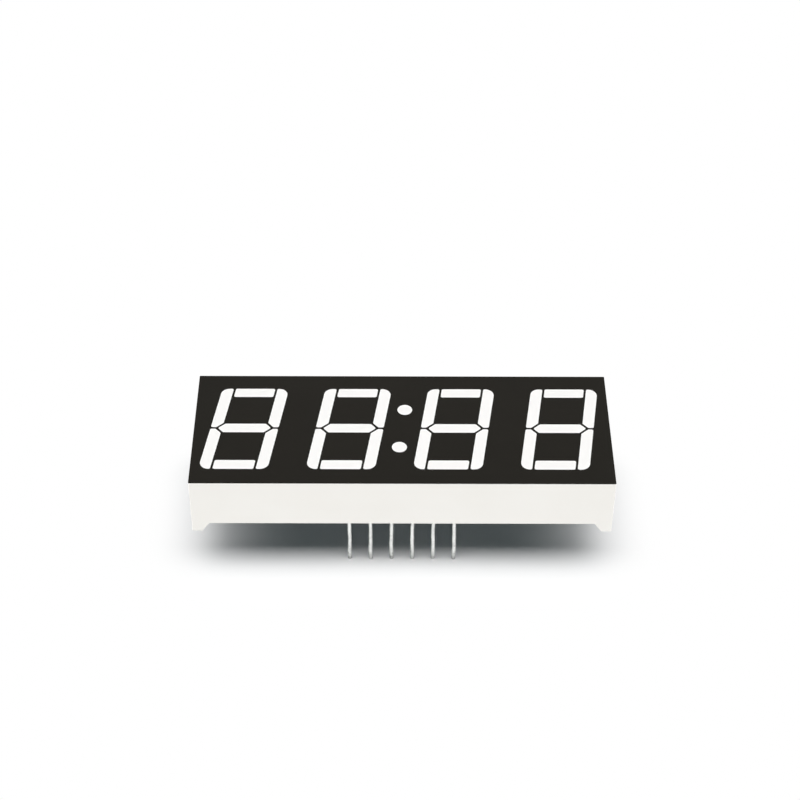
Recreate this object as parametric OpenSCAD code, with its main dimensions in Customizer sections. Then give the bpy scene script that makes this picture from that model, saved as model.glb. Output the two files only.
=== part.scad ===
// Four digit clock display: a white moulded reflector with cast light wells under a black face,
// closed at the back by a potted circuit board with two rows of pins.
// It stands face up on its pin tips, centred on the origin. Sizes are in millimetres.

/* [Housing] */
// Depth of the body, front wall to rear wall
body_d = 19.0; // [16:0.1:24]
// Height of the body, from the feet to the face
body_h = 8.0; // [7:0.1:12]
// Gap left between modules that are set side by side at the digit pitch
butt_gap = 0.5; // [0.1:0.1:1]
// Radius of the four upright corners
corner_r = 0.1; // [0.05:0.05:0.8]
// Thickness of the wall round the back pocket
wall_t = 1.0; // [0.7:0.05:1.1]
// Radius of the pocket's corners
pocket_r = 0.6; // [0.4:0.05:1]
// Height of the feet below the walls' lower edge
foot_h = 1.3; // [0.6:0.05:1.8]
// Length of a foot's flat sole along each wall, from the corner
foot_flat = 1.2; // [1:0.05:3]
// Run of a foot's sloped flank along the wall
foot_run = 0.9; // [0.2:0.05:2]

/* [Face] */
// Thickness of the black face layer
mask_t = 0.06; // [0.05:0.01:0.3]

/* [Digits] */
// Distance from the centre of one digit to the next
digit_pitch = 12.7; // [12:0.05:14]
// Height of a digit
digit_h = 14.2; // [13:0.1:15]
// Width of a digit, measured along its level strokes
digit_w = 8.2; // [7.4:0.1:8.8]
// Lean of the digits to the right, in degrees
slant = 8; // [0:0.5:10]
// Width of the upright strokes
upright_w = 1.4; // [1.2:0.05:1.7]
// Thickness of the level strokes
bar_t = 1.5; // [1.2:0.05:1.8]
// Gap between neighbouring strokes
stroke_gap = 0.28; // [0.2:0.02:0.4]
// Radius of a digit's four outer corners
digit_r = 1.05; // [0.5:0.05:1.1]
// Radius of a stroke's other corners
stroke_r = 0.2; // [0.1:0.05:0.3]

/* [Colon] */
// Diameter of a dot
dot_d = 1.8; // [1.3:0.05:2.2]
// Distance between the two dots, up the face
dot_pitch = 6.6; // [5:0.1:9]
// Lean of the colon to the right, in degrees
dot_slant = 5.7; // [0:0.1:10]

/* [Light wells] */
// Length of a well's throat at the board, along its stroke
throat_l = 2.2; // [1.4:0.1:3]
// Width of a well's throat at the board, and diameter of a dot's throat
throat_w = 1.0; // [0.95:0.05:1.15]

/* [Board] */
// Thickness of the circuit board
board_t = 1.2; // [0.8:0.1:1.6]
// Gap round the board's edge in the pocket
board_gap = 0.2; // [0.1:0.05:0.3]
// Diameter of the plated holes for the pins
hole_d = 0.9; // [0.7:0.05:1]

/* [Chips] */
// Side of a light chip
chip_w = 0.36; // [0.2:0.02:0.5]
// Thickness of a light chip
chip_t = 0.15; // [0.1:0.01:0.25]
// Diameter of the bond wire
wire_d = 0.03; // [0.02:0.01:0.06]
// Distance from the chip's centre to the bond on the board
wire_reach = 0.42; // [0.36:0.02:0.44]

/* [Resin] */
// Depth of resin over the back of the board
resin_cover = 1.0; // [0.7:0.05:1.6]
// Depth of the resin's surface inside the walls' lower edge
resin_recess = 0.15; // [0.05:0.05:0.2]

/* [Pins] */
// Diameter of a pin
pin_d = 0.5; // [0.4:0.02:0.6]
// Length of a pin below the feet
pin_l = 6.7; // [3:0.1:12]
// Distance between neighbouring pins of a row
pin_pitch = 2.54; // [2:0.01:3]
// Distance from the outside of a long wall in to its row of pins
row_inset = 1.88; // [1.85:0.01:3]
// Length of the bevel at a pin's tip
tip_bevel = 0.1; // [0.05:0.01:0.15]
// Side of the squared shank that is held in the resin and the board
shank_w = 0.44; // [0.36:0.02:0.48]

/* [Solder] */
// Diameter of a solder joint on the board
solder_d = 1.2; // [1.1:0.05:1.3]
// Diameter of a solder joint at its top
solder_top_d = 0.8; // [0.7:0.05:1]
// Height of a solder joint on the board
solder_h = 0.5; // [0.3:0.05:0.65]

/* [Hidden] */
digits = 4;
pins_per_row = 6;
strokes = ["a", "b", "c", "d", "e", "f", "g"];
dots = ["upper", "lower"];
// Straight steps in an outer corner of a digit, in another corner of a stroke, and in a full circle
outer_steps = 6;
stroke_steps = 3;
$fn = 48;
// Overshoot of a cut past the face that it opens
cut = 1;

body_w = digits * digit_pitch - butt_gap;
pocket_w = body_w - 2 * wall_t;
pocket_d = body_d - 2 * wall_t;
board_w = pocket_w - 2 * board_gap;
board_d = pocket_d - 2 * board_gap;
board_r = pocket_r - board_gap;
// Distance between the two rows of pins
row_pitch = body_d - 2 * row_inset;

// Levels, from the pin tips up to the face
seat_z = pin_l;
edge_z = seat_z + foot_h;
resin_z = edge_z + resin_recess;
board_z = resin_z + resin_cover;
web_z = board_z + board_t;
face_z = seat_z + body_h;
mask_z = face_z - mask_t;

// Half sizes of a digit before it leans, and the knee where three strokes point at each other
half_w = digit_w / 2;
half_h = digit_h / 2;
half_gap = stroke_gap / 2;
inner_w = half_w - upright_w;
bar_l = 2 * (inner_w - stroke_gap);
knee = half_w - upright_w / 2;
point_gap = stroke_gap / sqrt(2);
upright_l = half_h - half_gap;
// Tangent of half the sharper angle of a leaned corner. A fillet there runs along each edge by its radius
// over this, and at the blunter corner by its radius times this
corner_tan = tan(45 - slant / 2);
// An outer corner's fillet leaves room on the stroke's end for the fillet of the inner corner
outer_r = min(digit_r, (upright_w - stroke_r * corner_tan) * corner_tan);

function stroke_name(d, s) = str("digit_", d, "_segment_", s);
function digit_x(d) = (d - (digits + 1) / 2) * digit_pitch;
function side(s) = s == "b" || s == "c" ? 1 : -1;
function half(s) = s == "a" || s == "b" || s == "f" ? 1 : -1;
function is_upright(s) = s == "b" || s == "c" || s == "e" || s == "f";

// A point of an upright digit, leaned to the right and back
function lean(p) = [p.x + p.y * tan(slant), p.y];
function unlean(p) = [p.x - p.y * tan(slant), p.y];

// Points of the arc of radius r that rounds corner p between its neighbours a and b
function fillet(a, p, b, r, steps) =
    let (
        u = (a - p) / norm(a - p),
        v = (b - p) / norm(b - p),
        half_angle = acos(u * v) / 2,
        centre = p + (u + v) / norm(u + v) * r / sin(half_angle),
        from = p + u * r / tan(half_angle) - centre,
        to = p + v * r / tan(half_angle) - centre,
        turn = atan2(from.x * to.y - from.y * to.x, from * to)
    )
    [for (i = [0 : steps])
        let (t = turn * i / steps)
        centre + [from.x * cos(t) - from.y * sin(t), from.x * sin(t) + from.y * cos(t)]];

// Outline of corners p with a fillet at each, the wider one at the digit's outer corner
function rounded(p, outer = -1) =
    let (n = len(p))
    [for (i = [0 : n - 1])
        let (before = p[(i + n - 1) % n], after = p[(i + 1) % n])
        each i == outer
            ? fillet(before, p[i], after, outer_r, outer_steps)
            : fillet(before, p[i], after, stroke_r, stroke_steps)];

function reversed(list) = [for (i = [len(list) - 1 : -1 : 0]) list[i]];

// Centre of a stroke before the digit leans
function stroke_centre(s) =
    is_upright(s) ? [side(s) * knee, half(s) * (half_h + half_gap) / 2]
    : s == "g" ? [0, 0]
    : [0, half(s) * (half_h - bar_t / 2)];

// Upper or lower level stroke: a plain bar between the upright strokes
function bar_outline(s) =
    let (c = stroke_centre(s))
    rounded([for (k = [[-1, -1], [1, -1], [1, 1], [-1, 1]])
        lean(c + [k.x * bar_l / 2, k.y * bar_t / 2])]);

// Middle stroke: a bar with both ends pointed at 45 degrees
function middle_outline() =
    let (tip = knee - point_gap, shoulder = tip - bar_t / 2)
    rounded([for (p = [[-tip, 0], [-shoulder, -bar_t / 2], [shoulder, -bar_t / 2],
                       [tip, 0], [shoulder, bar_t / 2], [-shoulder, bar_t / 2]])
        lean(p)]);

// Upright stroke: bevelled towards the middle stroke, more widely rounded at the digit's outer corner
function upright_outline(s) =
    let (
        bevel = knee + point_gap,
        corners = [[inner_w, bevel - inner_w], [bevel - half_gap, half_gap], [half_w, half_gap],
                   [half_w, half_h], [inner_w, half_h]],
        outline = rounded([for (c = corners) lean([side(s) * c.x, half(s) * c.y])], outer = 3)
    )
    side(s) * half(s) > 0 ? outline : reversed(outline);

function stroke_outline(s) =
    is_upright(s) ? upright_outline(s)
    : s == "g" ? middle_outline()
    : bar_outline(s);

// The stroke's outline drawn in to its throat, about the stroke's centre
function throat_outline(s) =
    let (
        c = stroke_centre(s),
        bar = s == "g" ? 2 * (knee - point_gap) : bar_l,
        k = is_upright(s) ? [throat_w / upright_w, throat_l / upright_l] : [throat_l / bar, throat_w / bar_t]
    )
    [for (p = stroke_outline(s))
        let (q = unlean(p) - c)
        lean(c + [k.x * q.x, k.y * q.y])];

function dot_centre(dot) =
    let (y = (dot == "upper" ? 1 : -1) * dot_pitch / 2)
    [y * tan(dot_slant), y];

// Pins are counted from the left of the front row and back along the rear row
function pin_place(n) =
    let (front = n <= pins_per_row, column = front ? n : 2 * pins_per_row + 1 - n)
    [(column - (pins_per_row + 1) / 2) * pin_pitch, (front ? -1 : 1) * row_pitch / 2];

// Solid through outlines of equal length, each at its own level
module loft(outlines, levels) {
    n = len(outlines[0]);
    top = (len(levels) - 1) * n;
    polyhedron(
        points = [for (k = [0 : len(levels) - 1], p = outlines[k]) [p.x, p.y, levels[k]]],
        faces = concat(
            [[for (i = [0 : n - 1]) i]],
            [[for (i = [n - 1 : -1 : 0]) top + i]],
            [for (k = [0 : len(levels) - 2], i = [0 : n - 1], upper = [true, false])
                let (a = k * n + i, b = k * n + (i + 1) % n)
                upper ? [a, a + n, b + n] : [a, b + n, b]]
        ),
        convexity = 4
    );
}

// Plate with rounded upright corners, standing on level z
module plate(w, d, r, z, h) {
    translate([0, 0, z]) linear_extrude(h) {
        square([w - 2 * r, d], center = true);
        square([w, d - 2 * r], center = true);
        for (x = [-1, 1], y = [-1, 1])
            translate([x * (w / 2 - r), y * (d / 2 - r)]) circle(r);
    }
}

// Space of a stroke: from its throat at the board up to its outline at the face
module stroke_well(s, overshoot) {
    outline = stroke_outline(s);
    throat = throat_outline(s);
    loft([throat, throat, outline, outline], [web_z - overshoot, web_z, mask_z, mask_z + overshoot]);
}

module dot_well(overshoot) {
    translate([0, 0, web_z]) cylinder(d1 = throat_w, d2 = dot_d, h = mask_z - web_z);
    translate([0, 0, web_z - overshoot]) cylinder(d = throat_w, h = overshoot);
    translate([0, 0, mask_z]) cylinder(d = dot_d, h = overshoot);
}

// Chip on the board, turned so that its wire runs along the stroke
module on_board(place, turn) {
    translate([place.x, place.y, web_z]) rotate([0, 0, turn]) children();
}

module chip() {
    translate([-chip_w / 2, -chip_w / 2, 0]) cube([chip_w, chip_w, chip_t]);
}

// Half loop from the top of the chip, and a straight leg down to the board
module bond_wire() {
    loop_r = wire_reach / 2;
    translate([loop_r, 0, chip_t]) rotate([90, 0, 0])
        rotate_extrude(angle = 180) translate([loop_r, 0]) circle(d = wire_d);
    translate([wire_reach, 0, 0]) cylinder(d = wire_d, h = chip_t);
}

module at_stroke(s) {
    on_board(lean(stroke_centre(s)), is_upright(s) ? half(s) * 90 - slant : 0) children();
}

module at_dot(dot) {
    on_board(dot_centre(dot), 0) children();
}

// Opening between the feet of two opposite walls that are span apart at their outer corners
module wall_relief(span, through) {
    low = span / 2 - foot_flat;
    high = low - foot_run;
    linear_extrude(through, center = true)
        polygon([[-low, seat_z - cut], [low, seat_z - cut], [low, seat_z],
                 [high, edge_z], [-high, edge_z], [-low, seat_z]]);
}

module reflector_housing() {
    color("#f0eeea") difference() {
        plate(body_w, body_d, corner_r, seat_z, mask_z - seat_z);
        plate(pocket_w, pocket_d, pocket_r, seat_z - cut, web_z - seat_z + cut);
        rotate([90, 0, 0]) wall_relief(body_w, body_d + 2 * cut);
        rotate([90, 0, 90]) wall_relief(body_d, body_w + 2 * cut);
        for (d = [1 : digits], s = strokes)
            translate([digit_x(d), 0, 0]) stroke_well(s, cut);
        for (dot = dots) translate(dot_centre(dot)) dot_well(cut);
    }
}

module face_mask() {
    color("#2b2925") difference() {
        plate(body_w, body_d, corner_r, mask_z, mask_t);
        translate([0, 0, mask_z - cut]) linear_extrude(mask_t + 2 * cut) {
            for (d = [1 : digits], s = strokes)
                translate([digit_x(d), 0]) polygon(stroke_outline(s));
            for (dot = dots) translate(dot_centre(dot)) circle(d = dot_d);
        }
    }
}

// Cast resin stroke, flush with the face, round the chip and wire that light it
module stroke(d, s) {
    outline = stroke_outline(s);
    color("#fafaf7") translate([digit_x(d), 0, 0]) difference() {
        loft([throat_outline(s), outline, outline], [web_z, mask_z, face_z]);
        at_stroke(s) chip();
        at_stroke(s) bond_wire();
    }
}

module colon_dot(dot) {
    color("#fafaf7") difference() {
        translate(dot_centre(dot)) {
            translate([0, 0, web_z]) cylinder(d1 = throat_w, d2 = dot_d, h = mask_z - web_z);
            translate([0, 0, mask_z]) cylinder(d = dot_d, h = mask_t);
        }
        at_dot(dot) chip();
        at_dot(dot) bond_wire();
    }
}

module circuit_board() {
    color("#3f7a4d") difference() {
        plate(board_w, board_d, board_r, board_z, board_t);
        for (n = [1 : 2 * pins_per_row])
            translate(pin_place(n)) translate([0, 0, board_z - cut])
                cylinder(d = hole_d, h = board_t + 2 * cut);
    }
}

module digit_chips(d) {
    color("#e6c75a") translate([digit_x(d), 0, 0])
        for (s = strokes) at_stroke(s) chip();
}

module digit_wires(d) {
    color("#d8b04a") translate([digit_x(d), 0, 0])
        for (s = strokes) at_stroke(s) bond_wire();
}

module colon_chips() {
    color("#e6c75a") for (dot = dots) at_dot(dot) chip();
}

module colon_wires() {
    color("#d8b04a") for (dot = dots) at_dot(dot) bond_wire();
}

// Squared part of a pin, from the resin's surface to the front of the board
module shank() {
    translate([-shank_w / 2, -shank_w / 2, resin_z]) cube([shank_w, shank_w, web_z - resin_z]);
}

// Round pin with a bevelled tip
module pin(n) {
    color("#c8cbc9") translate(pin_place(n)) {
        cylinder(d1 = pin_d - 2 * tip_bevel, d2 = pin_d, h = tip_bevel);
        translate([0, 0, tip_bevel]) cylinder(d = pin_d, h = resin_z - tip_bevel);
        shank();
    }
}

// Solder fills the plated hole and rises as a cone on the back of the board
module solder() {
    translate([0, 0, board_z]) cylinder(d = hole_d, h = board_t);
    translate([0, 0, board_z - solder_h]) cylinder(d1 = solder_top_d, d2 = solder_d, h = solder_h);
}

module solder_joints() {
    color("#b9bcbd") for (n = [1 : 2 * pins_per_row])
        translate(pin_place(n)) difference() {
            solder();
            shank();
        }
}

module potting_resin() {
    color("#e9e6da") difference() {
        plate(pocket_w, pocket_d, pocket_r, resin_z, web_z - resin_z);
        plate(board_w, board_d, board_r, board_z, board_t);
        for (n = [1 : 2 * pins_per_row]) translate(pin_place(n)) {
            solder();
            shank();
        }
    }
}

reflector_housing();
face_mask();
circuit_board();
potting_resin();
solder_joints();
for (d = [1 : digits], s = strokes)
    stroke(d, s);
for (dot = dots)
    colon_dot(dot);
for (d = [1 : digits]) {
    digit_chips(d);
    digit_wires(d);
}
colon_chips();  // colon_led_chips
colon_wires();  // colon_bond_wires
for (n = [1 : 2 * pins_per_row])
    pin(n);
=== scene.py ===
"""Finishes for a four digit clock display: looks, pins, strokes, resin edges and a studio stage."""

import math

import bpy
import numpy as np
from mathutils import Matrix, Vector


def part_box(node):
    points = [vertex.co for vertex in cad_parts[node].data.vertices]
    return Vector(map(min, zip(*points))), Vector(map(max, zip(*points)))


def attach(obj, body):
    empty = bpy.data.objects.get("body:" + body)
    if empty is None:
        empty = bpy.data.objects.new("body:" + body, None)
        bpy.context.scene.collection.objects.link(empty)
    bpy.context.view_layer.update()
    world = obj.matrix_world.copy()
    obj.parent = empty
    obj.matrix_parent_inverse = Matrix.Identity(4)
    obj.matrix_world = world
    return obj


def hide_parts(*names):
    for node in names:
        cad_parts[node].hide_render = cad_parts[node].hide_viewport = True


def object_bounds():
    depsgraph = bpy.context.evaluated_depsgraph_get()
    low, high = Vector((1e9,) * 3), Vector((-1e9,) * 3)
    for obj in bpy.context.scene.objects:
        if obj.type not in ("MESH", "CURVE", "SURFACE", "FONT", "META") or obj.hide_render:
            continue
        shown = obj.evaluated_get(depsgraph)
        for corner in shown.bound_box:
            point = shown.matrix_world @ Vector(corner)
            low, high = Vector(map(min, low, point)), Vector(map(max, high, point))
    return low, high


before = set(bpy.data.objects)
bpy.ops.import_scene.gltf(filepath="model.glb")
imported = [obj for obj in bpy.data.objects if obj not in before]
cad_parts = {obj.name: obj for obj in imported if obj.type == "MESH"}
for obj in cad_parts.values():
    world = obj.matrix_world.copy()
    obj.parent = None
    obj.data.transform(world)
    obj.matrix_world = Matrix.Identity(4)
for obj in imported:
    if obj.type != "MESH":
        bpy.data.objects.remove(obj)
CAD_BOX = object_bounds()

bl_info = {
    "name": "Four digit clock display",
    "version": (1, 0, 0),
    "blender": (4, 5, 0),
    "location": "View3D > Sidebar > Display",
    "description": "Dresses a packed four digit display and sets it on a white studio floor",
    "category": "Object",
}

MM = 0.001
BODY = "root"
DIGITS = range(1, 5)
STROKES = [f"digit_{d}_segment_{s}" for d in DIGITS for s in "abcdefg"]
DOTS = ["colon_upper", "colon_lower"]
PINS = [f"pin_{n}" for n in range(1, 13)]
CHIPS = [f"digit_{d}_led_chips" for d in DIGITS] + ["colon_led_chips"]
WIRES = [f"digit_{d}_bond_wires" for d in DIGITS] + ["colon_bond_wires"]

FACE_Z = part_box("face_mask")[1].z
RESIN_LOW, RESIN_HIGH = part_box("potting_resin")

# points of a solid this close together are one, and points this close to the face are on a rim
MERGE_STEP = 0.0002 * MM
RIM_NEAR = 0.001 * MM
# an edge that turns by more than this stays sharp
SHARP_EDGE = math.radians(40)

# a pin is held straight this far below the resin, its two waves are this long, and the short wave
# is this share of the long one
PIN_HELD = 2.5 * MM
PIN_WAVES = (5.8 * MM, 2.7 * MM)
PIN_SHORT_SHARE = 0.4
# how far the end of a pin's tip closes, from 0 for flat to 1 for a full dome
PIN_TIP_ROUND = 0.5
# powers of a pin's section, and the height over which the round wire becomes the squared shank
ROUND_POWER = 2.0
SQUARED_POWER = 16.0
SHANK_STEP = 0.001 * MM
# rings up a pin's tip, rings up its length and points round it
TIP_RINGS = 7
PIN_RINGS = 60
PIN_AROUND = 28
# the resin's rise starts this far inside a pin's surface, so that no gap shows
COLLAR_INSET = 0.01 * MM

# side of the square picture, width of the camera's sensor and the nearest distance that it shows
PICTURE_PX = 800
SENSOR_MM = 36.0
NEAR_CLIP = 10 * MM
# half the side of the floor
FLOOR_HALF = 1500 * MM
# a painted white glow on the floor lifts its shadow, growing from this far inside the display's plan to
# this far outside it
FADE_START = 4.3 * MM
FADE_END = 6.6 * MM
# height of a low lamp over the horizon, and how wide it looks
FILL_HEIGHT = math.radians(0.8)
FILL_WIDTH = math.radians(1)
WHITE = "#ffffff"
# light of the lamps in front and behind, at the ends, from the sky and back from the floor
FRONT_LIGHT = "#fffefc"
END_LIGHT = "#fbfdff"
SKY_LIGHT = "#b4e2ea"
FLOOR_LIGHT = "#4e5c64"


def linear(hex_colour):
    """Linear RGBA of an sRGB hex colour, by the sRGB curve."""
    srgb = np.array([int(hex_colour[i:i + 2], 16) for i in (1, 3, 5)]) / 255.0
    rgb = np.where(srgb <= 0.04045, srgb / 12.92, ((srgb + 0.055) / 1.055) ** 2.4)
    return (*rgb.tolist(), 1.0)


def colour_property(name, description, hex_colour):
    """A colour that a user may change, kept as linear RGBA."""
    return bpy.props.FloatVectorProperty(
        name=name, description=description, subtype="COLOR", size=4, min=0.0, max=1.0,
        default=linear(hex_colour))


def length_property(name, description, default_mm):
    """A length in metres whose default is written in millimetres."""
    return bpy.props.FloatProperty(
        name=name, description=description, unit="LENGTH", min=0.0, default=default_mm * MM)


def angle_property(name, description, default_degrees):
    """An angle whose default is written in degrees."""
    return bpy.props.FloatProperty(
        name=name, description=description, subtype="ANGLE", default=math.radians(default_degrees))


def share_property(name, description, default):
    """A share of white, from none to all."""
    return bpy.props.FloatProperty(
        name=name, description=description, subtype="FACTOR", min=0.0, max=1.0, default=default)


class DisplayFinish(bpy.types.PropertyGroup):
    """Colours of the display's materials."""

    moulding: colour_property("Moulding", "White polycarbonate of the reflector housing", "#f6f3ef")
    face: colour_property("Face", "Black print on the face", "#1c1a16")
    stroke: colour_property("Stroke", "White cast resin in the strokes and dots", "#fcfaf8")
    resin: colour_property("Resin", "Potting resin that closes the back", "#e4e1d6")
    lacquer: colour_property("Lacquer", "Green lacquer of the circuit board", "#2f6b42")
    tin: colour_property("Tin", "Tinned surface of the pins", "#eceeeb")
    solder: colour_property("Solder", "Solder round the pins", "#b4b7b8")
    chip: colour_property("Chip", "Phosphor over a light chip", "#e8cf62")
    gold: colour_property("Gold", "Gold of the bond wires", "#e2b64f")
    floor: colour_property("Floor", "White paper floor", "#fdfdfd")


class DisplayShape(bpy.types.PropertyGroup):
    """Sizes of the forms that are added to the solids."""

    stroke_sag: length_property("Stroke sag", "Shrinkage dish in the middle of a stroke", 0.03)
    pin_wander: length_property("Pin wander", "Sideways wander of a pin's centre line", 0.022)
    pin_lump: length_property("Pin lump", "Height of the lumps of tin on a pin", 0.009)
    pin_tip: length_property("Pin tip", "Length over which a pin's tip is rounded", 0.1)
    pin_shank: length_property("Pin shank", "Side of a pin's squared shank in the resin", 0.44)
    pocket_corner: length_property("Pocket corner", "Corner radius of the resin's edge", 0.6)
    wall_meniscus: length_property("Wall meniscus", "Width of the resin's rise at the wall", 0.4)
    wall_climb: length_property("Wall climb", "Height of the resin's rise at the wall", 0.13)
    pin_meniscus: length_property("Pin meniscus", "Width of the resin's rise at a pin", 0.4)
    pin_climb: length_property("Pin climb", "Height of the resin's rise at a pin", 0.35)


class DisplayStage(bpy.types.PropertyGroup):
    """Camera and light."""

    focal_px: bpy.props.FloatProperty(
        name="Focal length", description="Focal length in pixels of the square picture",
        subtype="PIXEL", default=1977.1)
    elevation: angle_property("Elevation", "Angle of the view below the horizon", 42.106)
    azimuth: angle_property("Azimuth", "Turn of the view to the right", 0.282)
    roll: angle_property("Roll", "Turn of the camera about its own axis", 0.328)
    place: bpy.props.FloatVectorProperty(
        name="Place", description="Camera place from the middle of the face", subtype="TRANSLATION",
        unit="LENGTH", size=3, default=(-1.14 * MM, -175.03 * MM, 162.80 * MM))
    key: share_property("Key", "Share of white that the softbox overhead gives the floor", 0.965)
    key_height: length_property("Key height", "Height of the softbox over the floor", 3000)
    key_long: length_property("Key length", "Length of the softbox, along the row of digits", 10600)
    key_wide: length_property("Key width", "Width of the softbox", 1950)
    key_forward: length_property("Key forward", "How far the softbox hangs in front", 555)
    fill: share_property(
        "Fill", "Share of white that the low lights in front and behind give a wall", 0.741)
    side_fill: share_property(
        "Side fill", "Share of white that the low lights at the ends give a wall", 0.46)
    ambient: share_property("Ambient", "Share of white that comes from all round", 0.03)


def feed(tree, node, **inputs):
    """Gives sockets of a node, by their names or as _ and a number, a value or another node's output."""
    for name, value in inputs.items():
        number = name[1:]
        socket = node.inputs[int(number) if number.isdigit() else name.replace("_", " ")]
        if isinstance(value, bpy.types.NodeSocket):
            tree.links.new(value, socket)
        else:
            socket.default_value = value


def add(tree, kind, settings=(), **inputs):
    """Adds one node with its properties, which are the settings, and feeds its sockets."""
    made = tree.nodes.new("ShaderNode" + kind)
    for name, value in dict(settings).items():
        setattr(made, name, value)
    feed(tree, made, **inputs)
    return made


def material(name):
    """A new node material, with its tree, its shader and the object's own coordinates."""
    made = bpy.data.materials.new(name)
    made.use_nodes = True
    tree = made.node_tree
    shader = tree.nodes["Principled BSDF"]
    place = add(tree, "TexCoord").outputs["Object"]
    return made, tree, shader, place


def moulded_polycarbonate(finish):
    """White polycarbonate moulded against a spark eroded tool: satin, with a fine even grain and
    faint clouds from the flow."""
    made, tree, shader, place = material("moulded_polycarbonate")
    cloud = add(tree, "TexNoise", Vector=place, Scale=1 / (9 * MM), Detail=3.0)
    flow = add(tree, "ValToRGB", Fac=cloud.outputs["Fac"])
    flow.color_ramp.elements[0].color = linear("#f8f7f5")
    flow.color_ramp.elements[1].color = linear(WHITE)
    tone = add(tree, "Mix", {"data_type": "RGBA", "blend_type": "MULTIPLY"},
               _0=1.0, _6=finish.moulding, _7=flow.outputs["Color"])
    # spark erosion grain, drawn at 0.25 mm so that it shows
    grain = add(tree, "TexNoise", Vector=place, Scale=1 / (0.25 * MM), Detail=4.0, Roughness=0.6)
    bump = add(tree, "Bump", Strength=0.25, Distance=0.006 * MM, Height=grain.outputs["Fac"])
    sheen = add(tree, "MapRange", Value=grain.outputs["Fac"], To_Min=0.40, To_Max=0.54)
    feed(tree, shader, Base_Color=tone.outputs[2], Roughness=sheen.outputs["Result"],
         Normal=bump.outputs["Normal"], IOR=1.58)
    return made


def printed_black(finish):
    """Screen printed black ink: matt, a little uneven, with the fine pitting of the screen."""
    made, tree, shader, place = material("screen_printed_black_ink")
    cloud = add(tree, "TexNoise", Vector=place, Scale=1 / (5 * MM), Detail=4.0)
    uneven = add(tree, "MapRange", Value=cloud.outputs["Fac"], To_Min=0.85, To_Max=1.15)
    tone = add(tree, "HueSaturation", Color=finish.face, Value=uneven.outputs["Result"])
    # pits of the screen's mesh, drawn at 0.2 mm so that they show
    pits = add(tree, "TexNoise", Vector=place, Scale=1 / (0.2 * MM), Detail=3.0, Roughness=0.55)
    bump = add(tree, "Bump", Strength=0.3, Distance=0.006 * MM, Height=pits.outputs["Fac"])
    sheen = add(tree, "MapRange", Value=pits.outputs["Fac"], To_Min=0.52, To_Max=0.70)
    feed(tree, shader, Base_Color=tone.outputs["Color"], Roughness=sheen.outputs["Result"],
         Normal=bump.outputs["Normal"], Specular_IOR_Level=0.06)
    return made


def diffusing_epoxy(finish):
    """Epoxy cast with a white diffuser: smooth and milky, with a faint ripple."""
    made, tree, shader, place = material("cast_diffusing_epoxy")
    milk = add(tree, "TexNoise", Vector=place, Scale=1 / (0.8 * MM), Detail=5.0)
    uneven = add(tree, "MapRange", Value=milk.outputs["Fac"], To_Min=0.97, To_Max=1.0)
    tone = add(tree, "HueSaturation", Color=finish.stroke, Value=uneven.outputs["Result"])
    ripple = add(tree, "Bump", Strength=0.15, Distance=0.01 * MM, Height=milk.outputs["Fac"])
    feed(tree, shader, Base_Color=tone.outputs["Color"], Normal=ripple.outputs["Normal"],
         Roughness=0.38, IOR=1.55, Specular_IOR_Level=0.25)
    return made


def tinned_wire(finish):
    """Hot tinned wire: bright, with runs of tin along its length and dull patches, dark specks that grow
    stronger towards the bottom, and painted shade over the lowest 1.6 mm, standing in for the shadow
    that the lower pin reflects, partly the grey of the sheared end."""
    made, tree, shader, place = material("hot_tinned_wire")
    along = add(tree, "Mapping", Vector=place, Scale=(1.0, 1.0, 0.25))
    runs = add(tree, "TexNoise", Vector=along.outputs["Vector"], Scale=1 / (0.18 * MM), Detail=4.0)
    patch = add(tree, "TexNoise", Vector=place, Scale=1 / (1.1 * MM), Detail=2.0)
    bright = add(tree, "MapRange", Value=patch.outputs["Fac"], From_Min=0.3, From_Max=0.7,
                 To_Min=0.82, To_Max=1.04)
    specks = add(tree, "TexNoise", Vector=place, Scale=1 / (0.4 * MM), Detail=2.0)
    dark_specks = add(tree, "MapRange", {"interpolation_type": "SMOOTHSTEP"}, Value=specks.outputs["Fac"],
                From_Min=0.56, From_Max=0.70, To_Max=0.45)
    height = add(tree, "SeparateXYZ", Vector=place).outputs["Z"]
    # the specks grow stronger towards the bottom
    low = add(tree, "MapRange", Value=height, From_Max=5 * MM, To_Min=1.0, To_Max=0.2)
    low_specks = add(tree, "Math", {"operation": "MULTIPLY"},
               _0=dark_specks.outputs["Result"], _1=low.outputs["Result"])
    clean = add(tree, "Math", {"operation": "SUBTRACT"},
                _0=bright.outputs["Result"], _1=low_specks.outputs["Value"])
    # painted shade: darker over the lowest 1.6 mm, standing in for the shadow that the lower pin
    # reflects, partly the grey of the sheared end
    painted_tip_shade = add(tree, "MapRange", {"interpolation_type": "SMOOTHSTEP"}, Value=height,
              From_Max=1.6 * MM, To_Min=0.6)
    value = add(tree, "Math", {"operation": "MULTIPLY"},
                _0=clean.outputs["Value"], _1=painted_tip_shade.outputs["Result"])
    tone = add(tree, "HueSaturation", Color=finish.tin, Value=value.outputs["Value"])
    sheen = add(tree, "MapRange", Value=runs.outputs["Fac"], To_Min=0.26, To_Max=0.48)
    bump = add(tree, "Bump", Strength=0.4, Distance=0.012 * MM, Height=runs.outputs["Fac"])
    feed(tree, shader, Base_Color=tone.outputs["Color"], Roughness=sheen.outputs["Result"],
         Normal=bump.outputs["Normal"], Metallic=1.0)
    return made


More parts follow.
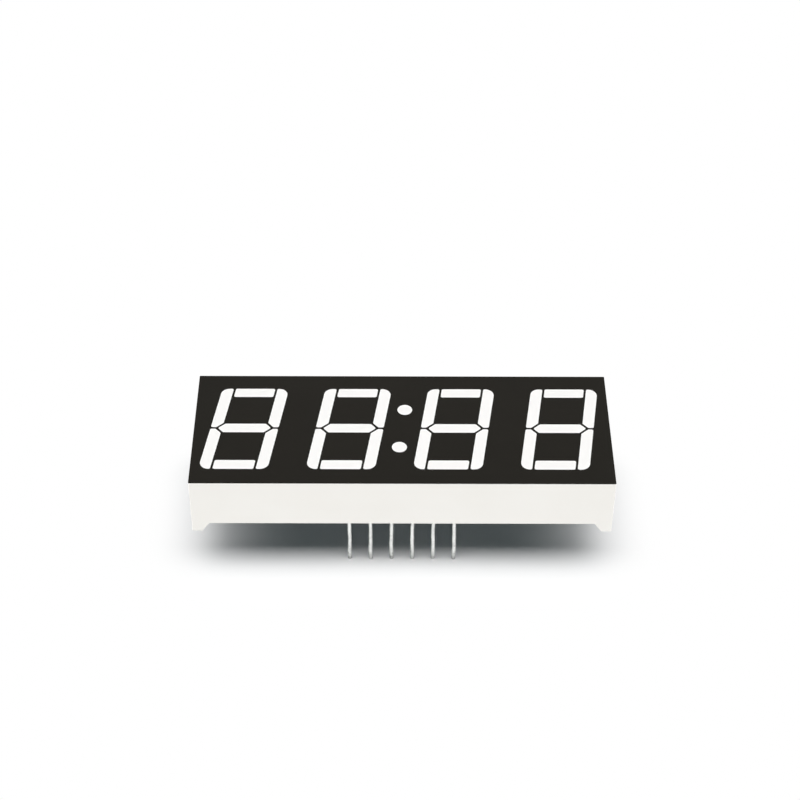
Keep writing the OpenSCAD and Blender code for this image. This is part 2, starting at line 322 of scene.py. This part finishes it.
def potting_epoxy(finish):
    """Milky potting epoxy: glossy, with slow waves and faint clouds from the pour."""
    made, tree, shader, place = material("milky_potting_epoxy")
    cloud = add(tree, "TexNoise", Vector=place, Scale=1 / (4 * MM), Detail=5.0, Distortion=0.6)
    uneven = add(tree, "MapRange", Value=cloud.outputs["Fac"], To_Min=0.90, To_Max=1.04)
    tone = add(tree, "HueSaturation", Color=finish.resin, Value=uneven.outputs["Result"])
    wave = add(tree, "TexNoise", Vector=place, Scale=1 / (6 * MM), Detail=1.0)
    bump = add(tree, "Bump", Strength=0.5, Distance=0.08 * MM, Height=wave.outputs["Fac"])
    feed(tree, shader, Base_Color=tone.outputs["Color"], Normal=bump.outputs["Normal"],
         Roughness=0.16, IOR=1.55)
    return made


def plain_inner(name, colour, metallic, roughness, grain_mm):
    """A sealed inner material: its colour with a slight grain of the given size."""
    made, tree, shader, place = material(name)
    grain = add(tree, "TexNoise", Vector=place, Scale=1 / (grain_mm * MM), Detail=3.0)
    uneven = add(tree, "MapRange", Value=grain.outputs["Fac"], To_Min=0.9, To_Max=1.08)
    tone = add(tree, "HueSaturation", Color=colour, Value=uneven.outputs["Result"])
    feed(tree, shader, Base_Color=tone.outputs["Color"], Metallic=metallic, Roughness=roughness)
    return made


def dress(node, finish_material):
    """Gives a solid of the frame its material."""
    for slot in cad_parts[node].material_slots:
        slot.material = finish_material


def new_piece(name, points, faces, finish_material, slot, replaced=()):
    """Puts point and face arrays into a mesh that rides on the body and stands for the named solids."""
    mesh = bpy.data.meshes.new(name)
    mesh.from_pydata(points.tolist(), [], [f.tolist() for f in faces])
    mesh.polygons.foreach_set("use_smooth", np.ones(len(mesh.polygons), bool))
    mesh.set_sharp_from_angle(angle=SHARP_EDGE)
    mesh.materials.append(finish_material)
    piece = bpy.data.objects.new(name, mesh)
    bpy.context.scene.collection.objects.link(piece)
    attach(piece, BODY)
    if replaced:
        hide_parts(*replaced)


def grid_faces(rows, columns, close_rows=False):
    """Quads of a grid whose columns run round, and whose rows do too if asked."""
    last = rows if close_rows else rows - 1
    i, j = np.meshgrid(np.arange(last), np.arange(columns), indexing="ij")
    next_i = (i + 1) % rows
    next_j = (j + 1) % columns
    corners = [i * columns + j, i * columns + next_j, next_i * columns + next_j, next_i * columns + j]
    return np.stack(corners, axis=-1).reshape(-1, 4)


def merged_solid(node):
    """Points and triangles of a solid of the frame, with equal points made one."""
    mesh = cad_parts[node].data
    mesh.calc_loop_triangles()
    points = np.empty(len(mesh.vertices) * 3, np.float32)
    mesh.vertices.foreach_get("co", points)
    triangles = np.empty(len(mesh.loop_triangles) * 3, np.int32)
    mesh.loop_triangles.foreach_get("vertices", triangles)
    points = points.reshape(-1, 3).astype(float)
    _, first, back = np.unique(np.round(points / MERGE_STEP).astype(np.int64), axis=0,
                               return_index=True, return_inverse=True)
    triangles = back.reshape(-1)[triangles].reshape(-1, 3)
    real = (triangles != np.roll(triangles, 1, axis=1)).all(axis=1)
    return points[first], triangles[real]


def dished_stroke(node, sag, rings=7):
    """A stroke's own walls under a new top: the outline drawn in to its centre by a share r,
    sunk by sag times (1 - r cubed), so that the rim stays flush with the face."""
    points, triangles = merged_solid(node)
    top = points[:, 2] > FACE_Z - RIM_NEAR
    walls = triangles[~top[triangles].all(axis=1)]
    rim = np.flatnonzero(top)
    centre = (points[rim].min(axis=0) + points[rim].max(axis=0)) / 2
    out = points[rim] - centre
    rim = rim[np.argsort(np.arctan2(out[:, 1], out[:, 0]))]
    share = np.linspace(1, 0, rings + 1)[1:-1]
    inner = centre + share[:, None, None] * (points[rim] - centre)
    inner[:, :, 2] = FACE_Z - sag * (1 - share[:, None] ** 3)
    inner = inner.reshape(-1, 3)
    pole = np.array([[centre[0], centre[1], FACE_Z - sag]])
    ids = np.concatenate([rim, len(points) + np.arange(len(inner))])
    cap = ids[grid_faces(rings, len(rim))]
    last_ring = ids[-len(rim):]
    pole_id = np.full(len(rim), len(points) + len(inner))
    fan = np.stack([last_ring, np.roll(last_ring, -1), pole_id], axis=1)
    return np.concatenate([points, inner, pole]), [*walls, *cap, *fan]


def pin_plan(node):
    """Where a pin's axis stands in plan, and the pin's radius, from its box."""
    low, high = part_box(node)
    axis = np.array([(low.x + high.x) / 2, (low.y + high.y) / 2])
    return axis, (high.x - low.x) / 2


def wandering_pin(node, shape, seed):
    """A pin swept up its axis: round below the resin and squared above it.
    Section: half size over (|cos|^p + |sin|^p)^(1/p), with a low power p for round and a high one
    for squared. The centre line wanders by a long and a short sine that die out at the resin. Lumps
    of tin are two-lobed waves that turn as they climb, and the tip closes by a part of an ellipse."""
    rng = np.random.default_rng(seed)
    axis, radius = pin_plan(node)
    top_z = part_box(node)[1].z
    resin_z = RESIN_LOW.z
    tip = shape.pin_tip * (1 - np.cos(np.linspace(0, math.pi / 2, TIP_RINGS)))
    wire = np.linspace(shape.pin_tip, resin_z, PIN_RINGS)[1:]
    z = np.concatenate([tip, wire, [resin_z + SHANK_STEP, top_z]])
    theta = np.linspace(0, 2 * math.pi, PIN_AROUND, endpoint=False)
    held = z > resin_z
    half = np.where(held, shape.pin_shank / 2, radius)
    power = np.where(held, SQUARED_POWER, ROUND_POWER)[:, None]
    blunt = np.sqrt(1 - (1 - np.clip(z / shape.pin_tip, 0, 1)) ** 2 * PIN_TIP_ROUND)
    section = 1 / (np.abs(np.cos(theta)) ** power + np.abs(np.sin(theta)) ** power) ** (1 / power)
    # 0 at the resin and 1 where the pin is free, eased at both ends
    free = np.clip((resin_z - z) / PIN_HELD, 0, 1)[:, None]
    free = free ** 2 * (3 - 2 * free)
    phase = rng.uniform(0, 2 * math.pi, (4, 2))
    long_turn = 2 * math.pi * z[:, None] / PIN_WAVES[0]
    short_turn = 2 * math.pi * z[:, None] / PIN_WAVES[1]
    wander = np.sin(long_turn + phase[0]) + PIN_SHORT_SHARE * np.sin(short_turn + phase[1])
    wander = wander * free * shape.pin_wander
    lumps = np.sin(2 * theta + long_turn + phase[2, 0]) * np.sin(short_turn + phase[3, 0])
    lumps = lumps * free * shape.pin_lump
    reach = blunt[:, None] * (half[:, None] * section + lumps)
    points = np.stack([axis[0] + wander[:, :1] + reach * np.cos(theta),
                       axis[1] + wander[:, 1:] + reach * np.sin(theta),
                       np.broadcast_to(z[:, None], reach.shape)], axis=-1).reshape(-1, 3)
    rows, columns = reach.shape
    ends = [np.arange(columns)[::-1], np.arange(columns) + (rows - 1) * columns]
    return points, [*grid_faces(rows, columns), *ends]


def concave_rise(width, climb, steps=8):
    """Section of a meniscus: a quarter ellipse hollow, tangent to the wall and to the resin.
    Columns are the distance from the wall and the depth below the resin's level."""
    turn = np.linspace(0, math.pi / 2, steps)
    curve = np.stack([width * (1 - np.cos(turn)), climb * (1 - np.sin(turn))], axis=1)
    return np.concatenate([curve, [[0.0, 0.0]]])


def wall_meniscus(shape, corner_steps=8):
    """The concave section carried round the pocket, as a rounded rectangle that each distance from
    the wall moves inwards."""
    section = concave_rise(shape.wall_meniscus, shape.wall_climb)
    half = (np.array(RESIN_HIGH) - np.array(RESIN_LOW))[:2] / 2
    turn = np.linspace(0, math.pi / 2, corner_steps)
    angle = (turn + np.arange(4)[:, None] * math.pi / 2).reshape(-1)
    sign = np.repeat(np.array([[1, 1], [-1, 1], [-1, -1], [1, -1]]), corner_steps, axis=0)
    corner = sign * (half - shape.pocket_corner)
    out = np.stack([np.cos(angle), np.sin(angle)], axis=1)
    path = corner[None] + (shape.pocket_corner - section[:, 0])[:, None, None] * out[None]
    z = np.broadcast_to((RESIN_LOW.z - section[:, 1])[:, None, None], (*path.shape[:2], 1))
    points = np.concatenate([path, z], axis=2).reshape(-1, 3)
    return points, grid_faces(len(section), len(angle), close_rows=True)[:, ::-1]


def pin_collars(shape):
    """The same section turned about each pin, from just inside the pin's surface outwards."""
    section = concave_rise(shape.pin_meniscus, shape.pin_climb)
    theta = np.linspace(0, 2 * math.pi, PIN_AROUND, endpoint=False)
    axes, radii = [np.array(values) for values in zip(*map(pin_plan, PINS))]
    reach = radii[:, None] - COLLAR_INSET + section[:, 0]
    ring = reach[:, :, None, None] * np.stack([np.cos(theta), np.sin(theta)], axis=1)
    plan = axes[:, None, None, :] + ring
    z = np.broadcast_to((RESIN_LOW.z - section[:, 1])[None, :, None, None], (*plan.shape[:3], 1))
    points = np.concatenate([plan, z], axis=3).reshape(-1, 3)
    one = grid_faces(len(section), PIN_AROUND, close_rows=True)
    start = np.arange(len(PINS)) * len(section) * PIN_AROUND
    return points, (one[None] + start[:, None, None]).reshape(-1, 4)


def shown(tree):
    """1 to rays from the camera, straight or by way of mirrors and clear things, 0 to rays that a matt
    surface has scattered."""
    path = add(tree, "LightPath")
    mirrored = add(tree, "Math", {"operation": "MAXIMUM"},
                   _0=path.outputs["Is Glossy Ray"], _1=path.outputs["Is Transmission Ray"])
    seen = add(tree, "Math", {"operation": "MAXIMUM"},
               _0=path.outputs["Is Camera Ray"], _1=mirrored.outputs["Value"])
    # the depth counts matt bounces, so under one half means none
    unscattered = add(tree, "Math", {"operation": "LESS_THAN"},
                      _0=path.outputs["Diffuse Depth"], _1=0.5)
    both = add(tree, "Math", {"operation": "MULTIPLY"},
               _0=seen.outputs["Value"], _1=unscattered.outputs["Value"])
    return both.outputs["Value"]


def white_paper(finish):
    """Matt white paper that keeps the shadow under and round the display. Where it is seen, a painted
    white glow lifts the shadow by the distance from the display's plan, drawn in a little, until it is
    plain white."""
    made, tree, shader, place = material("white_paper")
    seen = shown(tree)
    # white where it is seen, grey to the light that it throws back, so that the shadow stays deep
    tone = add(tree, "Mix", {"data_type": "RGBA"},
               _0=seen, _6=linear(FLOOR_LIGHT), _7=finish.floor)
    feed(tree, shader, Base_Color=tone.outputs[2], Roughness=1.0, Specular_IOR_Level=0.0)
    plan = (CAD_BOX[1].x - FADE_START, CAD_BOX[1].y - FADE_START, 0.0)
    quarter = add(tree, "VectorMath", {"operation": "ABSOLUTE"}, _0=place)
    beyond = add(tree, "VectorMath", {"operation": "SUBTRACT"}, _0=quarter.outputs["Vector"], _1=plan)
    outside = add(tree, "VectorMath", {"operation": "MAXIMUM"},
                  _0=beyond.outputs["Vector"], _1=(0.0, 0.0, 0.0))
    away = add(tree, "VectorMath", {"operation": "LENGTH"}, _0=outside.outputs["Vector"])
    # painted light: a white glow that grows with the distance from the display's plan and lifts the
    # floor's shadow there
    painted_glow = add(tree, "MapRange", {"interpolation_type": "SMOOTHSTEP"}, Value=away.outputs["Value"],
               From_Max=FADE_START + FADE_END)
    share = add(tree, "Math", {"operation": "MULTIPLY"}, _0=painted_glow.outputs["Result"], _1=seen)
    white = add(tree, "Emission", Color=linear(WHITE), Strength=1.0)
    both = add(tree, "MixShader", _0=share.outputs["Value"], _1=shader.outputs["BSDF"],
               _2=white.outputs["Emission"])
    feed(tree, tree.nodes["Material Output"], Surface=both.outputs["Shader"])
    return made


def make_floor(finish):
    """A flat sheet of paper under the pin tips."""
    corners = FLOOR_HALF * np.array([[-1, -1, 0], [1, -1, 0], [1, 1, 0], [-1, 1, 0]])
    mesh = bpy.data.meshes.new("paper_floor")
    mesh.from_pydata(corners.tolist(), [], [[0, 1, 2, 3]])
    mesh.materials.append(white_paper(finish))
    floor = bpy.data.objects.new("paper_floor", mesh)
    bpy.context.scene.collection.objects.link(floor)


def softbox(stage, steps=64):
    """A level oval softbox over the floor, whose power follows from the share of white that it gives
    there. Its pull on the floor is the sum over its area of height squared over distance to the
    fourth, and its power is that share times pi squared times area over that sum."""
    middle = (np.arange(steps) + 0.5) / steps - 0.5
    oval = np.hypot(middle[:, None], middle[None, :]) < 0.5
    along = middle * stage.key_long
    across = middle * stage.key_wide - stage.key_forward
    area = math.pi / 4 * stage.key_long * stage.key_wide
    far = along[:, None] ** 2 + across[None, :] ** 2 + stage.key_height ** 2
    pull = (stage.key_height ** 2 / far[oval] ** 2).mean() * area
    lamp = bpy.data.lights.new("softbox", "AREA")
    lamp.shape = "ELLIPSE"
    lamp.size = stage.key_long
    lamp.size_y = stage.key_wide
    lamp.energy = stage.key * math.pi ** 2 * area / pull
    box = bpy.data.objects.new("softbox", lamp)
    box.location = (0.0, -stage.key_forward, stage.key_height)
    bpy.context.scene.collection.objects.link(box)


def low_fill(name, share, azimuth, hex_colour):
    """A low far lamp that gives a wall which faces it the share of white asked for, and the floor
    little."""
    lamp = bpy.data.lights.new(name, "SUN")
    lamp.energy = share * math.pi
    lamp.angle = FILL_WIDTH
    lamp.color = linear(hex_colour)[:3]
    sun = bpy.data.objects.new(name, lamp)
    sun.rotation_euler = (math.pi / 2 - FILL_HEIGHT, 0.0, azimuth)
    bpy.context.scene.collection.objects.link(sun)


def make_lights(scene, stage):
    """A long softbox overhead, low fills all round and a faint sky that the camera sees as white."""
    softbox(stage)
    low_fill("front_fill", stage.fill, 0.0, FRONT_LIGHT)
    low_fill("rear_fill", stage.fill, math.pi, FRONT_LIGHT)
    low_fill("right_fill", stage.side_fill, math.pi / 2, END_LIGHT)
    low_fill("left_fill", stage.side_fill, -math.pi / 2, END_LIGHT)
    world = bpy.data.worlds.new("white_sky")
    world.use_nodes = True
    tree = world.node_tree
    seen = shown(tree)
    level = add(tree, "MapRange", Value=seen, To_Min=stage.ambient, To_Max=1.0)
    # white where it is seen, a little cool as light
    tone = add(tree, "Mix", {"data_type": "RGBA"}, _0=seen, _6=linear(SKY_LIGHT), _7=linear(WHITE))
    feed(tree, tree.nodes["Background"], Color=tone.outputs[2], Strength=level.outputs["Result"])
    scene.world = world


def make_camera(scene, stage):
    """A camera placed from the middle of the face, for a square picture."""
    data = bpy.data.cameras.new("camera")
    data.sensor_width = SENSOR_MM
    data.lens = stage.focal_px / PICTURE_PX * SENSOR_MM
    data.clip_start = NEAR_CLIP
    camera = bpy.data.objects.new("camera", data)
    turn = Matrix.Rotation(-stage.azimuth, 4, "Z")
    turn = turn @ Matrix.Rotation(math.pi / 2 - stage.elevation, 4, "X")
    turn = turn @ Matrix.Rotation(stage.roll, 4, "Z")
    face_centre = np.array([0.0, 0.0, FACE_Z])
    camera.matrix_world = Matrix.Translation(face_centre + np.array(stage.place)) @ turn
    scene.collection.objects.link(camera)
    scene.camera = camera


class DISPLAY_OT_housing(bpy.types.Operator):
    """Finishes the white reflector housing"""

    bl_idname = "display.housing"
    bl_label = "Reflector housing"

    def execute(self, context):
        dress("reflector_housing", moulded_polycarbonate(context.scene.display_finish))
        return {"FINISHED"}


class DISPLAY_OT_face(bpy.types.Operator):
    """Finishes the black face"""

    bl_idname = "display.face"
    bl_label = "Black face"

    def execute(self, context):
        dress("face_mask", printed_black(context.scene.display_finish))
        return {"FINISHED"}


class DISPLAY_OT_strokes(bpy.types.Operator):
    """Casts the strokes and the dots of the colon"""

    bl_idname = "display.strokes"
    bl_label = "Strokes and dots"

    def execute(self, context):
        epoxy = diffusing_epoxy(context.scene.display_finish)
        sag = context.scene.display_shape.stroke_sag
        for node in STROKES + DOTS:
            points, faces = dished_stroke(node, sag)
            new_piece(f"{node}_cast", points, faces, epoxy, "window_resin", [node])
        return {"FINISHED"}


class DISPLAY_OT_pins(bpy.types.Operator):
    """Draws the tinned pins"""

    bl_idname = "display.pins"
    bl_label = "Pins"

    def execute(self, context):
        wire = tinned_wire(context.scene.display_finish)
        for seed, node in enumerate(PINS):
            points, faces = wandering_pin(node, context.scene.display_shape, seed)
            new_piece(f"{node}_tinned", points, faces, wire, "tinned_wire", [node])
        return {"FINISHED"}


class DISPLAY_OT_resin(bpy.types.Operator):
    """Finishes the potting resin and adds its rise at the walls and pins"""

    bl_idname = "display.resin"
    bl_label = "Potting resin"

    def execute(self, context):
        shape = context.scene.display_shape
        epoxy = potting_epoxy(context.scene.display_finish)
        dress("potting_resin", epoxy)
        new_piece("resin_rise_at_walls", *wall_meniscus(shape), epoxy, "potting_resin")
        new_piece("resin_rise_at_pins", *pin_collars(shape), epoxy, "potting_resin")
        return {"FINISHED"}


class DISPLAY_OT_inside(bpy.types.Operator):
    """Finishes the board, solder, chips and bond wires that the resin seals in"""

    bl_idname = "display.inside"
    bl_label = "Sealed pieces"

    def execute(self, context):
        finish = context.scene.display_finish
        # lacquer over glass cloth is satin, solder is bright, phosphor is dull and drawn gold gleams
        board = plain_inner(
            "lacquered_glass_epoxy", finish.lacquer, metallic=0.0, roughness=0.4, grain_mm=0.5)
        solder = plain_inner(
            "bright_solder", finish.solder, metallic=1.0, roughness=0.25, grain_mm=0.3)
        chip = plain_inner(
            "phosphor_coated_chip", finish.chip, metallic=0.0, roughness=0.5, grain_mm=0.05)
        gold = plain_inner(
            "drawn_gold_wire", finish.gold, metallic=1.0, roughness=0.2, grain_mm=0.05)
        dress("circuit_board", board)
        dress("solder_joints", solder)
        for node in CHIPS:
            dress(node, chip)
        for node in WIRES:
            dress(node, gold)
        return {"FINISHED"}


class DISPLAY_OT_stage(bpy.types.Operator):
    """Sets the floor, the lights and the camera"""

    bl_idname = "display.stage"
    bl_label = "Studio stage"

    def execute(self, context):
        stage = context.scene.display_stage
        make_floor(context.scene.display_finish)
        make_lights(context.scene, stage)
        make_camera(context.scene, stage)
        context.scene.view_settings.view_transform = "Standard"
        return {"FINISHED"}


OPERATORS = (
    DISPLAY_OT_housing, DISPLAY_OT_face, DISPLAY_OT_strokes, DISPLAY_OT_pins, DISPLAY_OT_resin,
    DISPLAY_OT_inside, DISPLAY_OT_stage,
)
GROUPS = {"display_finish": DisplayFinish, "display_shape": DisplayShape, "display_stage": DisplayStage}


class DISPLAY_PT_panel(bpy.types.Panel):
    """Lists the operators and settings of the display"""

    bl_idname = "DISPLAY_PT_panel"
    bl_label = "Four digit display"
    bl_space_type = "VIEW_3D"
    bl_region_type = "UI"
    bl_category = "Display"

    def draw(self, context):
        for operator in OPERATORS:
            self.layout.operator(operator.bl_idname)
        for group in GROUPS:
            settings = getattr(context.scene, group)
            box = self.layout.box()
            for name in settings.__annotations__:
                box.prop(settings, name)


CLASSES = (*GROUPS.values(), *OPERATORS, DISPLAY_PT_panel)


def register():
    """Registers the classes and gives every scene the display's settings."""
    for cls in CLASSES:
        bpy.utils.register_class(cls)
    for name, group in GROUPS.items():
        setattr(bpy.types.Scene, name, bpy.props.PointerProperty(type=group))


def unregister():
    """Takes the settings and the classes away again."""
    for name in GROUPS:
        delattr(bpy.types.Scene, name)
    for cls in reversed(CLASSES):
        bpy.utils.unregister_class(cls)


def main():
    """Makes every piece and the stage."""
    register()
    bpy.ops.display.housing()
    bpy.ops.display.face()
    bpy.ops.display.strokes()
    bpy.ops.display.pins()
    bpy.ops.display.resin()
    bpy.ops.display.inside()
    bpy.ops.display.stage()


if __name__ == "__main__":
    main()
